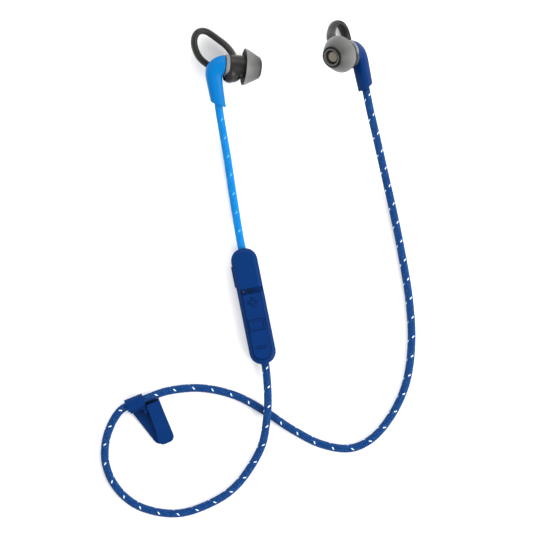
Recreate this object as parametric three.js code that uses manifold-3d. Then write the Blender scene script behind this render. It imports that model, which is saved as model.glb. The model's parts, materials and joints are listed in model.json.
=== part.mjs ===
// Sports earphones joined by one neck cord: two angled earbuds with silicone ear tips and ear loops,
// an in-line remote with three buttons and a covered charging port, and a collar clip on the cord.
// Units are millimetres. The set lies on a flat surface at z = 0, with +Z up. The origin is the middle
// of the remote's flat back, and +Y runs from the remote towards the earbuds.
import * as THREE from "three";
import { mergeVertices } from "three/addons/utils/BufferGeometryUtils.js";
import Module from "manifold-3d";

const wasm = await Module();
wasm.setup();

// ---------------------------------------------------------------- driving dimensions
const GAP = 0.25; // clearance between pieces that touch on the real object
const SEAM = 0.1; // the finer clearance round the remote's rubber keypad and its buttons
const CORD = { radius: 1.45, sides: 8, step: 5.8, bore: 1.7 };

const REMOTE = {
  length: 42.1,
  width: 9.5,
  corner: 4.3,
  split: 4.6, // height of the parting line between the two shells
  height: 7.5,
  chamfer: 1.35,
  wall: 0.9,
  lean: 11.4, // degrees between the remote and the +Y axis
  cordHeight: 3.6,
};
const BUTTONS = { firstY: 1.4, pitch: 8.2, proud: 0.3 };
const GROOVE = { y: 5.7, width: 1.7, depth: 1.25 };
const KEYPAD = { topY: 4.6, bottomY: -19.4, width: 6.75, thickness: 1.05 };
const PORT = { y: 11.5, z: 2.3, length: 7.5, height: 2.5, depth: 5, lidLength: 7.8, lidHeight: 3.2 };

const BUD = {
  neck: 4.05, // outer radius of the sleeve's collar
  nozzle: 2.35,
  skirt: 6.75, // rim radius of the ear tip
  rimX: 6.5,
  frontX: 12.7,
  cupX: 1.1,
  driverY: -2.1, // the driver sits below the nozzle's axis
  stemTilt: 15, // degrees that the stem leans towards the nozzle
};
const LOOP = { halfThick: 1.3, halfWide: 1.95, sides: 10, steps: 32 };
const CLIP = { cordHeight: 2.75, turn: 22, pinY: -3.6, pinZ: 2.7, slope: 9.5 };

// Where each turned group sits, and how: x, y, z of its own origin, then its turns in degrees.
const PLACES = {
  remote: { at: [0, 0, 0], turn: [0, 0, REMOTE.lean] },
  clip: { at: [-39.8, -33.7, 0], turn: [0, 0, CLIP.turn] },
  leftBud: { at: [-9.9, 86.3, 8.75], turn: [10, 11, -4.5] },
  rightBud: { at: [34.4, 91.3, 14.4], turn: [176, -54, -156] },
};

// The cords' routes, laid along the surface by hand.
const LEFT_ROUTE = [
  [-13.25, 76.82, 7.51],
  [-12.56, 72.28, 6.51],
  [-11.98, 68.42, 5.63],
  [-10.9, 62.0, 3.9],
  [-9.3, 52.6, 1.9],
  [-7.7, 41.8, 1.5],
  [-6.3, 33.0, 1.8],
  [-5.15, 26.0, 3.2],
  [-4.35, 21.6, 3.6],
  [-3.9, 19.3, 3.6],
];
const NECK_ROUTE = [
  [3.9, -19.3, 3.6],
  [4.35, -21.6, 3.6],
  [5.0, -28.0, 4.0],
  [5.2, -34.0, 4.7],
  [5.0, -38.4, 4.85],
  [4.4, -43.5, 4.4],
  [3.3, -49.2, 2.9],
  [0.2, -55.9, 1.6],
  [-6.2, -64.6, 1.5],
  [-13.6, -70.0, 1.5],
  [-27.4, -74.6, 1.5],
  [-41.6, -71.8, 1.5],
  [-49.6, -64.8, 1.5],
  [-53.2, -56.4, 1.5],
  [-53.0, -48.0, 1.6],
  [-50.5, -41.3, 2.2],
  [-47.8, -37.5, 2.7],
  [-45.3, -35.95, 2.75],
  [-39.8, -33.7, 2.75],
  [-35.2, -31.9, 2.75],
  [-30.6, -30.5, 2.2],
  [-19.3, -29.5, 1.5],
  [-6.8, -32.1, 1.5],
  [4.2, -37.9, 1.5],
  [13.8, -44.3, 1.5],
  [24.5, -49.7, 1.5],
  [34.7, -51.2, 1.5],
  [42.0, -48.1, 1.5],
  [49.0, -40.3, 1.5],
  [54.7, -28.3, 1.5],
  [56.8, -14.0, 1.5],
  [56.1, 1.4, 1.5],
  [52.9, 21.0, 1.65],
  [50.1, 34.6, 2.2],
  [47.6, 45.4, 4.4],
  [43.0, 64.6, 12.7],
  [41.65, 70.2, 13.9],
  [40.85, 74.25, 13.6],
  [40.09, 78.11, 12.92],
  [39.14, 82.64, 12.12],
];

// ---------------------------------------------------------------- materials
const finish = (color, roughness, metalness = 0) => ({ color, roughness, metalness });
const BRIGHT_BLUE = finish(0x0a84e0, 0.4);
const NAVY = finish(0x12408c, 0.55);
const NAVY_RUBBER = finish(0x0f3b84, 0.75);
const TIP_GREY = finish(0x8b898a, 0.45);
const LOOP_GREY = finish(0x45434a, 0.5);
const PALE = finish(0xd9dbe0, 0.35);
const CHARCOAL = finish(0x3a3a3f, 0.5);
const STEEL = finish(0xb9bcc2, 0.3, 1);
const BOARD = finish(0x1c5a34, 0.6);
const CELL = finish(0xc9ccd2, 0.4, 0.6);
const BLACK = finish(0x1a1a1d, 0.6);

const radians = THREE.MathUtils.degToRad;

// ---------------------------------------------------------------- solids and booleans

// A three.js geometry as a manifold solid, with its faces turned outwards.
function solid(geometry) {
  const bare = new THREE.BufferGeometry();
  bare.setAttribute("position", geometry.getAttribute("position"));
  bare.setIndex(geometry.getIndex());
  const merged = mergeVertices(bare, 1e-4);
  const corners = Array.from(merged.index.array);
  const faces = [];
  for (let i = 0; i < corners.length; i += 3) {
    const [a, b, c] = corners.slice(i, i + 3);
    if (a !== b && b !== c && c !== a) faces.push(a, b, c);
  }
  const build = (triangles) =>
    new wasm.Manifold(
      new wasm.Mesh({
        numProp: 3,
        vertProperties: new Float32Array(merged.attributes.position.array),
        triVerts: new Uint32Array(triangles),
      }),
    );
  const made = build(faces);
  return made.volume() < 0 ? build(faces.reverse()) : made;
}

// A manifold solid as a three.js geometry.
function surface(made) {
  const mesh = made.getMesh();
  const geometry = new THREE.BufferGeometry();
  geometry.setAttribute("position", new THREE.BufferAttribute(mesh.vertProperties, 3));
  geometry.setIndex(new THREE.BufferAttribute(mesh.triVerts, 1));
  const flat = geometry.toNonIndexed();
  flat.computeVertexNormals();
  return flat;
}

const join = (...pieces) => surface(pieces.map(solid).reduce((sum, piece) => sum.add(piece)));
const cut = (body, ...tools) =>
  surface(tools.map(solid).reduce((rest, tool) => rest.subtract(tool), solid(body)));

// ---------------------------------------------------------------- shape helpers

const box = (x, y, z, cx, cy, cz) => new THREE.BoxGeometry(x, y, z).translate(cx, cy, cz);

// A rod along X, from one x to another.
function rodX(radius, fromX, toX, y, z, sides = 24) {
  const rod = new THREE.CylinderGeometry(radius, radius, toX - fromX, sides);
  return rod.rotateZ(Math.PI / 2).translate((fromX + toX) / 2, y, z);
}

function rodY(radius, fromY, toY, x, z, sides = 24) {
  return new THREE.CylinderGeometry(radius, radius, toY - fromY, sides).translate(x, (fromY + toY) / 2, z);
}

function rodZ(radius, fromZ, toZ, x, y, sides = 16) {
  const rod = new THREE.CylinderGeometry(radius, radius, toZ - fromZ, sides);
  return rod.rotateX(Math.PI / 2).translate(x, y, (fromZ + toZ) / 2);
}

// A profile of (radius, x) pairs turned about the X axis.
function turned(profile, sides) {
  const points = profile.map(([radius, x]) => new THREE.Vector2(radius, x));
  return new THREE.LatheGeometry(points, sides).rotateZ(-Math.PI / 2);
}

// The points of a rectangle with round corners, centred on (0, centreY).
function roundedOutline(width, length, corner, centreY = 0, arcSteps = 5) {
  const points = [];
  const quarters = [
    [1, 1],
    [-1, 1],
    [-1, -1],
    [1, -1],
  ];
  quarters.forEach(([sx, sy], quarter) => {
    for (let i = 0; i <= arcSteps; i++) {
      const angle = (quarter + i / arcSteps) * (Math.PI / 2);
      const x = sx * (width / 2 - corner) + corner * Math.cos(angle);
      const y = sy * (length / 2 - corner) + corner * Math.sin(angle) + centreY;
      points.push(new THREE.Vector2(x, y));
    }
  });
  return points;
}

// A closed skin over rings of equal point counts, capped flat at both ends.
function loft(rings) {
  const count = rings[0].length;
  const positions = rings.flat().flatMap((p) => [p.x, p.y, p.z]);
  const index = [];
  for (let r = 0; r < rings.length - 1; r++) {
    for (let i = 0; i < count; i++) {
      const a = r * count + i;
      const b = r * count + ((i + 1) % count);
      index.push(a, b, b + count, a, b + count, a + count);
    }
  }
  [0, rings.length - 1].forEach((r) => {
    const centre = positions.length / 3;
    const middle = rings[r].reduce((sum, p) => sum.add(p), new THREE.Vector3()).divideScalar(count);
    positions.push(middle.x, middle.y, middle.z);
    for (let i = 0; i < count; i++) {
      const a = r * count + i;
      const b = r * count + ((i + 1) % count);
      index.push(...(r === 0 ? [centre, b, a] : [centre, a, b]));
    }
  });
  const geometry = new THREE.BufferGeometry();
  geometry.setAttribute("position", new THREE.Float32BufferAttribute(positions, 3));
  geometry.setIndex(index);
  return geometry;
}

// A prism of an outline between two heights, or a stack of insets when more levels are given.
function stacked(outlineAt, levels) {
  return loft(
    levels.map(([inset, z]) => outlineAt(inset).map((p) => new THREE.Vector3(p.x, p.y, z))),
  );
}

const prism = (points, fromZ, toZ) => stacked(() => points, [[0, fromZ], [0, toZ]]);

// A tube of a given section along a curve.
function swept(curve, section, steps) {
  return new THREE.ExtrudeGeometry(new THREE.Shape(section), { steps, extrudePath: curve });
}

function ellipse(halfX, halfY, sides) {
  return Array.from({ length: sides }, (_, i) => {
    const angle = (2 * Math.PI * i) / sides;
    return new THREE.Vector2(halfX * Math.cos(angle), halfY * Math.sin(angle));
  });
}

function piece(name, geometry, look) {
  const mesh = new THREE.Mesh(surface(solid(geometry)), new THREE.MeshStandardMaterial(look));
  mesh.name = name;
  return mesh;
}

function placed(place, pieces) {
  const group = new THREE.Group();
  group.position.set(...place.at);
  group.rotation.set(...place.turn.map(radians), "ZYX");
  group.add(...pieces);
  return group;
}

// ---------------------------------------------------------------- remote

const remoteOutline = (inset) =>
  roundedOutline(REMOTE.width - 2 * inset, REMOTE.length - 2 * inset, REMOTE.corner - inset);

const buttonY = (index) => BUTTONS.firstY - index * BUTTONS.pitch;

// The cord enters each end of the remote through a round hole shared by both shells.
function cordEntry() {
  const half = REMOTE.length / 2 + 1;
  return rodY(CORD.bore, -half, half, 0, REMOTE.cordHeight, 20);
}

function remoteRearShell() {
  const shell = stacked(remoteOutline, [
    [1.0, 0],
    [0.3, 0.3],
    [0, 1],
    [0, REMOTE.split],
  ]);
  const hollow = stacked((inset) => remoteOutline(REMOTE.wall + inset), [
    [0.4, REMOTE.wall],
    [0, REMOTE.wall + 0.5],
    [0, REMOTE.split + 1],
  ]);
  const side = -REMOTE.width / 2;
  const lidSeat = box(1.1, PORT.lidLength + 2 * GAP, PORT.lidHeight + 2 * GAP, side, PORT.y, PORT.z);
  const mouth = box(4, PORT.length + 0.6, PORT.height + 0.5, side, PORT.y, PORT.z);
  return cut(shell, hollow, cordEntry(), lidSeat, mouth);
}

function keypadOutline(grow) {
  const length = KEYPAD.topY - KEYPAD.bottomY;
  const middle = (KEYPAD.topY + KEYPAD.bottomY) / 2;
  const outline = roundedOutline(KEYPAD.width + 2 * grow, length + 2 * grow, 2.9 + grow, middle);
  return outline.map((p) => {
    const square = p.y > middle; // the upper end is cut square against the groove
    const halfWidth = KEYPAD.width / 2 + grow;
    return square ? new THREE.Vector2(Math.sign(p.x) * halfWidth, KEYPAD.topY + grow) : p;
  });
}

// The raised marks double as the buttons: a plus made of two bars, a framed pad and a minus.
const MARKS = [
  { name: "plus", width: 3.3, length: 3.3, bars: [[3.3, 0.65], [0.65, 3.3]] },
  { name: "main", width: 5.6, length: 3.7, bars: [[5.6, 3.7]] },
  { name: "minus", width: 3.3, length: 0.65, bars: [[3.3, 0.65]] },
];

function markPrism(index, grow, fromZ, toZ) {
  const bars = MARKS[index].bars.map(([width, length]) => {
    return prism(roundedOutline(width + 2 * grow, length + 2 * grow, 0.25 + grow, 0, 2), fromZ, toZ);
  });
  const made = bars.length > 1 ? join(...bars) : bars[0];
  return made.translate(0, buttonY(index), 0);
}

function remoteFrontShell() {
  const { split, height, chamfer } = REMOTE;
  const shell = stacked(remoteOutline, [
    [0, split + 0.15],
    [0, height - chamfer],
    [chamfer - 0.25, height - 0.2],
    [chamfer, height],
  ]);
  const hollow = stacked((inset) => remoteOutline(REMOTE.wall + inset), [
    [0.3, split],
    [0.3, 5.9],
  ]);
  const pocket = prism(keypadOutline(SEAM), 6.4, height + 1);
  const groove = box(8, GROOVE.width, 2, 0.4, GROOVE.y, height - GROOVE.depth + 1);
  const microphoneHole = rodZ(0.4, 5, 8, -2.5, GROOVE.y, 12);
  const lightHole = rodZ(0.6, 5, 8, 0, GROOVE.y, 12);
  const buttonHoles = MARKS.map((mark, i) => box(mark.width + 0.5, mark.length + 0.5, 2, 0, buttonY(i), 6.2));
  return cut(shell, hollow, cordEntry(), pocket, groove, microphoneHole, lightHole, ...buttonHoles);
}

function remoteKeypad() {
  const top = REMOTE.height + 0.05;
  const sheet = stacked((inset) => keypadOutline(-inset), [
    [0, top - KEYPAD.thickness],
    [0, top - 0.2],
    [0.2, top],
  ]);
  const openings = MARKS.map((mark, i) => markPrism(i, SEAM, 6, 8));
  return cut(sheet, ...openings);
}

// A button is its raised mark, a stem through the keypad, and a wider foot that keeps it in.
function button(index) {
  const top = REMOTE.height + BUTTONS.proud;
  const stem = markPrism(index, 0, 5.4, top);
  const { width, length } = MARKS[index];
  const foot = box(width + 1, length + 1.2, 0.65, 0, buttonY(index), 5.325);
  const whole = join(stem, foot);
  if (index !== 1) return whole;
  const dish = prism(roundedOutline(4.7, 2.8, 0.3, buttonY(index), 2), top - 0.35, top + 1);
  return cut(whole, dish);
}

function switchDome(index) {
  const profile = [
    [0, 4.6],
    [0.8, 4.52],
    [1.5, 4.3],
    [1.9, 4.25],
    [0, 4.25],
  ].map(([r, z]) => new THREE.Vector2(r, z));
  return new THREE.LatheGeometry(profile, 16).rotateX(Math.PI / 2).translate(0, buttonY(index), 0);
}

function chargingPort() {
  const x = -REMOTE.width / 2 + 0.8 + PORT.depth / 2;
  const can = box(PORT.depth, PORT.length, PORT.height, x, PORT.y, PORT.z);
  const inside = box(PORT.depth, PORT.length - 0.7, PORT.height - 0.7, x - 0.6, PORT.y, PORT.z);
  const tongue = box(PORT.depth - 1, PORT.length - 2.6, 0.5, x + 0.5, PORT.y, PORT.z);
  return join(cut(can, inside), tongue);
}

// A rubber flap that closes the port's mouth, with a low plug and a finger lip.
function portCover() {
  const face = -REMOTE.width / 2;
  const flap = stacked((inset) => roundedOutline(PORT.lidLength - 2 * inset, PORT.lidHeight - 2 * inset, 0.9), [
    [0, 0],
    [0, 0.65],
    [0.25, 0.9],
  ]);
  flap.rotateZ(Math.PI / 2).rotateY(-Math.PI / 2).translate(face + 0.45, PORT.y, PORT.z);
  const plug = box(0.7, PORT.length - 1.3, PORT.height - 1.3, face + 0.7, PORT.y, PORT.z);
  return join(flap, plug);
}

function cordAnchor(end) {
  const near = REMOTE.length / 2 - REMOTE.wall - 3 * GAP;
  return rodY(2.1, near - 1.9, near, 0, REMOTE.cordHeight, 20).scale(1, end, 1);
}

function remote() {
  const board = prism(roundedOutline(7.1, 33.6, 2.4, 0), 3.65, 4.2);
  const cell = prism(roundedOutline(6.6, 19.4, 0.9, -7.2), 1.05, 3.4);
  return placed(PLACES.remote, [
    piece("remote_rear_shell", remoteRearShell(), NAVY),
    piece("remote_front_shell", remoteFrontShell(), NAVY),
    piece("remote_keypad", remoteKeypad(), NAVY_RUBBER),
    ...MARKS.map(({ name }, i) => piece(`${name}_button`, button(i), NAVY_RUBBER)),
    ...MARKS.map(({ name }, i) => piece(`${name}_switch_dome`, switchDome(i), STEEL)),
    piece("remote_circuit_board", board, BOARD),
    piece("remote_battery", cell, CELL),
    piece("charging_port", chargingPort(), STEEL),
    piece("port_cover", portCover(), NAVY_RUBBER),
    piece("microphone", box(2.4, 1.8, 0.9, -2.1, GROOVE.y, 4.7), STEEL),
    piece("status_light_pipe", rodZ(0.4, 4.3, 6.4, 0, GROOVE.y, 12), PALE),
    piece("upper_cord_anchor", cordAnchor(1), BLACK),
    piece("lower_cord_anchor", cordAnchor(-1), BLACK),
  ]);
}

// ---------------------------------------------------------------- earbud

// The elbow's stations from its mouth to the slanted cord outlet: the middle of the section, the
// reach from there to its outer edge, its half depth, and how square it is (2 is round).
const ELBOW = [
  { middle: [-0.6, 0], reach: [0, 3.6], depth: 3.6, square: 2 },
  { middle: [-1.5, -0.15], reach: [-0.35, 3.6], depth: 3.55, square: 2 },
  { middle: [-2.75, -0.9], reach: [-1.9, 3.0], depth: 3.35, square: 2.1 },
  { middle: [-3.75, -2.3], reach: [-3.05, 1.7], depth: 3.1, square: 2.3 },
  { middle: [-3.95, -4.1], reach: [-3.05, 0], depth: 2.85, square: 2.6 },
  { middle: [-3.1, -7.4], reach: [-2.8, -0.35], depth: 2.7, square: 2.8 },
  { middle: [-2.15, -10.8], reach: [-2.75, 0], depth: 2.6, square: 3 },
  { middle: [-1.1, -14.4], reach: [-2.85, 0.72], depth: 2.5, square: 3 },
];

// One ring of the elbow, shrunk by a wall thickness.
function elbowRing({ middle, reach, depth, square }, wall, sides = 22) {
  const length = Math.hypot(...reach);
  const scale = (length - wall) / length;
  const power = 2 / square;
  const signed = (value) => Math.sign(value) * Math.abs(value) ** power;
  return Array.from({ length: sides }, (_, i) => {
    const angle = (2 * Math.PI * i) / sides;
    const along = signed(Math.cos(angle)) * scale;
    const across = signed(Math.sin(angle)) * (depth - wall);
    return new THREE.Vector3(middle[0] + reach[0] * along, middle[1] + reach[1] * along, across);
  });
}

// Stations in between, read off smooth curves through the given ones.
function elbowStations(count) {
  const through = (pick) => new THREE.CatmullRomCurve3(ELBOW.map(pick), false, "centripetal");
  const middles = through((s) => new THREE.Vector3(...s.middle, s.depth));
  const reaches = through((s) => new THREE.Vector3(...s.reach, s.square));
  return Array.from({ length: count }, (_, i) => {
    const t = i / (count - 1);
    const m = middles.getPoint(t);
    const r = reaches.getPoint(t);
    return { middle: [m.x, m.y], reach: [r.x, r.y], depth: m.z, square: r.z };
  });
}

const STEM = new THREE.Vector3(Math.sin(radians(BUD.stemTilt)), -Math.cos(radians(BUD.stemTilt)), 0);
const OUTLET = new THREE.Vector3(-1.1, -14.4, 0);

// A round bar along the stem's axis, from one distance to another before the outlet.
function stemBar(radius, from, to, sides = 20) {
  const bar = new THREE.CylinderGeometry(radius, radius, to - from, sides);
  bar.rotateZ(radians(BUD.stemTilt));
  const middle = OUTLET.clone().addScaledVector(STEM, -(from + to) / 2);
  return bar.translate(middle.x, middle.y, 0);
}

function budHousing() {
  const stations = elbowStations(13);
  const skin = loft(stations.map((s) => elbowRing(s, 0)));
  const inner = stations.slice(0, -2).map((s) => elbowRing(s, 0.95));
  const hollow = loft([inner[0].map((p) => p.clone().setX(p.x + 1)), ...inner]);
  const last = elbowRing(stations.at(-1), 0.75);
  const recess = loft([-1, 1].map((t) => last.map((p) => p.clone().addScaledVector(STEM, t))));
  return cut(skin, hollow, recess, stemBar(CORD.bore, -2, 6));
}

const trimRing = () =>
  turned(
    [
      [2.8, -0.35],
      [3.6, -0.35],
      [3.8, -0.1],
      [3.85, 0.7],
      [3.7, 1.0],
      [2.8, 1.0],
      [2.8, -0.35],
    ],
    28,
  );

// The driver cup sits low at the back, and the nozzle runs forward from its upper half.
function nozzleBody() {
  const cup = turned(
    [
      [0, BUD.cupX],
      [2.7, BUD.cupX],
      [3.0, 1.5],
      [3.0, 4.0],
      [2.6, 4.5],
      [0, 4.5],
    ],
    24,
  ).translate(0, BUD.driverY, 0);
  const neck = turned(
    [
      [0, 1.2],
      [2.9, 1.2],
      [2.9, 8.2],
      [BUD.nozzle, 8.4],
      [BUD.nozzle, 11.6],
      [BUD.nozzle - 0.2, 11.8],
      [0, 11.8],
    ],
    24,
  );
  const chamber = rodX(2.55, 0.8, 3.9, BUD.driverY, 0, 24);
  const bore = turned(
    [
      [0, 3],
      [1.75, 3],
      [1.75, 10.9],
      [2.0, 10.9],
      [2.0, 12],
      [0, 12],
    ],
    20,
  );
  return cut(join(cup, neck), chamber, bore);
}

function driverCapsule() {
  const capsule = turned(
    [
      [0, 1.25],
      [2.3, 1.25],
      [2.3, 2.7],
      [2.1, 2.9],
      [1.5, 2.9],
      [0.9, 3.1],
      [0, 3.2],
    ],
    20,
  );
  return capsule.translate(0, BUD.driverY, 0);
}

const nozzleMesh = () => rodX(1.8, 11.15, 11.45, 0, 0, 20);

// A silicone mushroom: a soft skirt folded back from the mouth around a tube that grips the nozzle.
function earTip() {
  const bore = BUD.nozzle + GAP;
  const { skirt, rimX, frontX } = BUD;
  const outer = new THREE.CubicBezierCurve(
    new THREE.Vector2(skirt - 2.35, rimX + 4.6),
    new THREE.Vector2(skirt - 2.95, rimX + 5.7),
    new THREE.Vector2(skirt - 3.4, frontX),
    new THREE.Vector2(bore + 0.6, frontX),
  );
  const rounding = outer.getPoints(5).map((p) => [p.x, p.y]);
  return turned(
    [
      [skirt - 0.45, rimX],
      [skirt, rimX + 0.1],
      [skirt - 0.55, rimX + 1.4],
      ...rounding,
      [bore, frontX - 0.35],
      [bore, 8.7],
      [bore + 0.75, 8.7],
      [bore + 0.8, frontX - 2.6],
      [bore + 1.4, frontX - 1.9],
      [skirt - 2.6, rimX + 3.7],
      [skirt - 1.3, rimX + 1.6],
      [skirt - 0.45, rimX],
    ],
    28,
  );
}

// The loop's middle line, from the top of the sleeve up, back and down the far side of the elbow.
const LOOP_LINE = [
  [3.2, 2.4, 1.5],
  [2.0, 4.6, 3.8],
  [-0.1, 6.6, 5.6],
  [-3.2, 8.5, 6.8],
  [-5.9, 10.1, 7.2],
  [-8.0, 10.8, 7.1],
  [-9.9, 10.4, 6.9],
  [-11.1, 8.7, 6.8],
  [-11.2, 6.3, 6.8],
  [-10.3, 3.6, 6.6],
  [-8.7, 1.1, 6.3],
  [-6.2, -0.8, 6.0],
  [-3.2, -2.0, 5.8],
  [-0.6, -2.3, 5.7],
  [1.5, -2.4, 5.0],
  [3.0, -2.4, 3.6],
];

// A flat band along a line, its broad side always facing across the loop.
function loopBand(line) {
  const across = new THREE.Vector3(0, 0, 1);
  const rings = Array.from({ length: LOOP.steps + 1 }, (_, i) => {
    const middle = line.getPointAt(i / LOOP.steps);
    const along = line.getTangentAt(i / LOOP.steps);
    const thin = new THREE.Vector3().crossVectors(along, across).normalize();
    const broad = new THREE.Vector3().crossVectors(thin, along);
    return ellipse(LOOP.halfThick, LOOP.halfWide, LOOP.sides).map((p) =>
      middle.clone().addScaledVector(thin, p.x).addScaledVector(broad, p.y),
    );
  });
  return loft(rings);
}


// The sleeve, its concha pad below the nozzle, and the loop, moulded in one. hand is 1 or -1.
function earLoop(hand) {
  const pad = new THREE.SphereGeometry(1, 20, 14).scale(3.3, 4.25, 4.35);
  pad.translate(1.8, BUD.driverY - 0.05, -hand * 0.45);
  const collar = turned(
    [
      [0, 1.1],
      [3.8, 1.1],
      [BUD.neck, 1.6],
      [BUD.neck, 8.0],
      [BUD.neck - 0.2, 8.2],
      [0, 8.2],
    ],
    28,
  );
  const line = new THREE.CatmullRomCurve3(
    LOOP_LINE.map(([x, y, z]) => new THREE.Vector3(x, y, -hand * z)),
    false,
    "centripetal",
  );
  const band = loopBand(line);
  const cupBore = rodX(3.0 + GAP, -6, 4.5 + GAP, BUD.driverY, 0, 28);
  const neckBore = rodX(2.9 + GAP, -6, 12, 0, 0, 28);
  const mouthClearance = rodX(BUD.neck, -6, 1.1, 0, 0, 28);
  const stemClearance = box(6, 20, 20, -3.4, -10, 0);
  const rubber = join(pad, collar);
  const trimmed = cut(rubber, mouthClearance, stemClearance);
  const ringClearance = rodX(BUD.neck + 0.1, -0.8, 1.1, 0, 0, 28);
  return cut(join(trimmed, band), cupBore, neckBore, ringClearance);
}

function earbud(side, place, hand, shellLook) {
  return placed(place, [
    piece(`${side}_housing`, budHousing(), shellLook),
    piece(`${side}_trim_ring`, trimRing(), PALE),
    piece(`${side}_nozzle_body`, nozzleBody(), CHARCOAL),
    piece(`${side}_driver`, driverCapsule(), STEEL),
    piece(`${side}_nozzle_mesh`, nozzleMesh(), PALE),
    piece(`${side}_ear_loop`, earLoop(hand), LOOP_GREY),
    piece(`${side}_ear_tip`, earTip(), TIP_GREY),
    piece(`${side}_cord_anchor`, stemBar(1.5, 5.0, 7.0), BLACK),
  ]);
}

// ---------------------------------------------------------------- collar clip

// The back leaf with the blocky sleeve that the cord runs through and the lugs that hold the pin.
function clipBody() {
  const plan = new THREE.Shape();
  plan.moveTo(-5.9, -0.6);
  plan.lineTo(-1.6, -15.6);
  plan.quadraticCurveTo(-1.1, -17, 0.4, -17.2);
  plan.lineTo(4, -17.2);
  plan.quadraticCurveTo(5.5, -17.2, 5.5, -15.6);
  plan.lineTo(5.4, -0.6);
  const leaf = prism(plan.getPoints(3), 0.05, 1.3);
  const sleeve = prism(roundedOutline(4.7, 4.7, 1.3, 0, 3), -6.3, 0.4);
  sleeve.rotateY(Math.PI / 2).translate(0, 0, CLIP.cordHeight);
  const shoulder = box(6.1, 2.2, 3.9, -2.75, -2.0, 2.05);
  const lugs = [
    [-1.0, 0.2],
    [4.2, 5.3],
  ].map(([from, to]) => {
    const boss = rodX(0.9, from, to, CLIP.pinY, CLIP.pinZ, 16);
    const web = box(to - from, 2, CLIP.pinZ - 0.5, (from + to) / 2, CLIP.pinY, (CLIP.pinZ + 0.5) / 2);
    return join(boss, web);
  });
  const pinBlock = box(1.5, 2.6, 3.7, -0.45, -3.7, 1.9);
  const bore = rodX(CORD.bore, -9, 8, 0, CLIP.cordHeight, 24);
  const pinHole = rodX(0.5, -0.8, 6, CLIP.pinY, CLIP.pinZ, 16);
  return cut(join(leaf, sleeve, shoulder, pinBlock, ...lugs), bore, pinHole);
}

// The front leaf slopes from above the pin down to the tip of the back leaf.
function clipJaw() {
  const plan = new THREE.Shape();
  plan.moveTo(0.6, -1.95);
  plan.lineTo(0.2, -12);
  plan.lineTo(-0.5, -15.4);
  plan.quadraticCurveTo(-0.5, -17.4, 1.4, -17.6);
  plan.lineTo(3.8, -17.5);
  plan.quadraticCurveTo(5.6, -17.2, 5.6, -15.2);
  plan.lineTo(5.5, -1.95);
  const tipZ = 1.65;
  const leaf = prism(plan.getPoints(3), 0, 1.25);
  leaf.translate(0, 17, 0).rotateX(radians(CLIP.slope)).translate(0, -17, tipZ);
  const knuckle = rodX(0.9, 0.6, 2.0, CLIP.pinY, CLIP.pinZ, 16);
  const web = box(1.4, 1.6, 1.2, 1.3, CLIP.pinY, CLIP.pinZ + 0.8);
  const pinHole = rodX(0.5, -3, 8, CLIP.pinY, CLIP.pinZ, 16);
  return cut(join(leaf, knuckle, web), pinHole);
}

function clipSpring() {
  const profile = [
    [0.6, 2.25],
    [0.95, 2.25],
    [0.95, 3.9],
    [0.6, 3.9],
    [0.6, 2.25],
  ];
  return turned(profile, 16).translate(0, CLIP.pinY, CLIP.pinZ);
}

function clip() {
  return placed(PLACES.clip, [
    piece("clip_body", clipBody(), NAVY),
    piece("clip_jaw", clipJaw(), NAVY),
    piece("clip_pin", rodX(0.35, -0.5, 5.2, CLIP.pinY, CLIP.pinZ, 12), STEEL),
    piece("clip_spring", clipSpring(), STEEL),
  ]);
}

// ---------------------------------------------------------------- cords

function cord(name, route, look) {
  const points = route.map((p) => new THREE.Vector3(...p));
  const curve = new THREE.CatmullRomCurve3(points, false, "centripetal");
  const steps = Math.round(curve.getLength() / CORD.step);
  return piece(name, swept(curve, ellipse(CORD.radius, CORD.radius, CORD.sides), steps), look);
}

// ---------------------------------------------------------------- assembly

const earphones = new THREE.Group();
earphones.add(
  remote(),
  earbud("left", PLACES.leftBud, 1, BRIGHT_BLUE),
  earbud("right", PLACES.rightBud, -1, NAVY),
  clip(),
  cord("left_cord", LEFT_ROUTE, BRIGHT_BLUE),
  cord("neck_cord", NECK_ROUTE, NAVY),
);

export default earphones;
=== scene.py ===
"""Looks for a set of corded earphones with a neck cord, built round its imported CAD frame.

Every length in the classes below is in millimetres, and MM turns it into the scene's metres.
"""

import json
import logging
import math
from dataclasses import dataclass, field
from enum import Enum

import bmesh
import bpy
from mathutils import Matrix, Vector


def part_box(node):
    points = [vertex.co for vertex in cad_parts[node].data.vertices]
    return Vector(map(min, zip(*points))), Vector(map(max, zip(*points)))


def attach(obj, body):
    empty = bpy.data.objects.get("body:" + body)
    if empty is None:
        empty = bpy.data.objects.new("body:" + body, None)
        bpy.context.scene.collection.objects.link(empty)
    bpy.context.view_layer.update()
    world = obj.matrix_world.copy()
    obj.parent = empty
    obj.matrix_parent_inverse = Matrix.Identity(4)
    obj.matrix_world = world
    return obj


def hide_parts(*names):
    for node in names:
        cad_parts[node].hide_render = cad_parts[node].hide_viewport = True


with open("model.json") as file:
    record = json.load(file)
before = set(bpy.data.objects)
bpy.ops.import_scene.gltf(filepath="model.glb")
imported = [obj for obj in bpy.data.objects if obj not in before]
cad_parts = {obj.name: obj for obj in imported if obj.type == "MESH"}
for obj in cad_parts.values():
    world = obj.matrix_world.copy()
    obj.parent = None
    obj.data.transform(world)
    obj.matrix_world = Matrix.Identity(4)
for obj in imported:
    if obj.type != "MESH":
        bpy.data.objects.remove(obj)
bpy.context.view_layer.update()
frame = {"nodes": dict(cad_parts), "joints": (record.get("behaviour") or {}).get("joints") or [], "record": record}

MM = 0.001
MERGE_WITHIN = 0.001  # points nearer than this, in millimetres, are one
log = logging.getLogger("earphones")

Colour = tuple[float, float, float]
Point = tuple[float, float, float]


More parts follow.
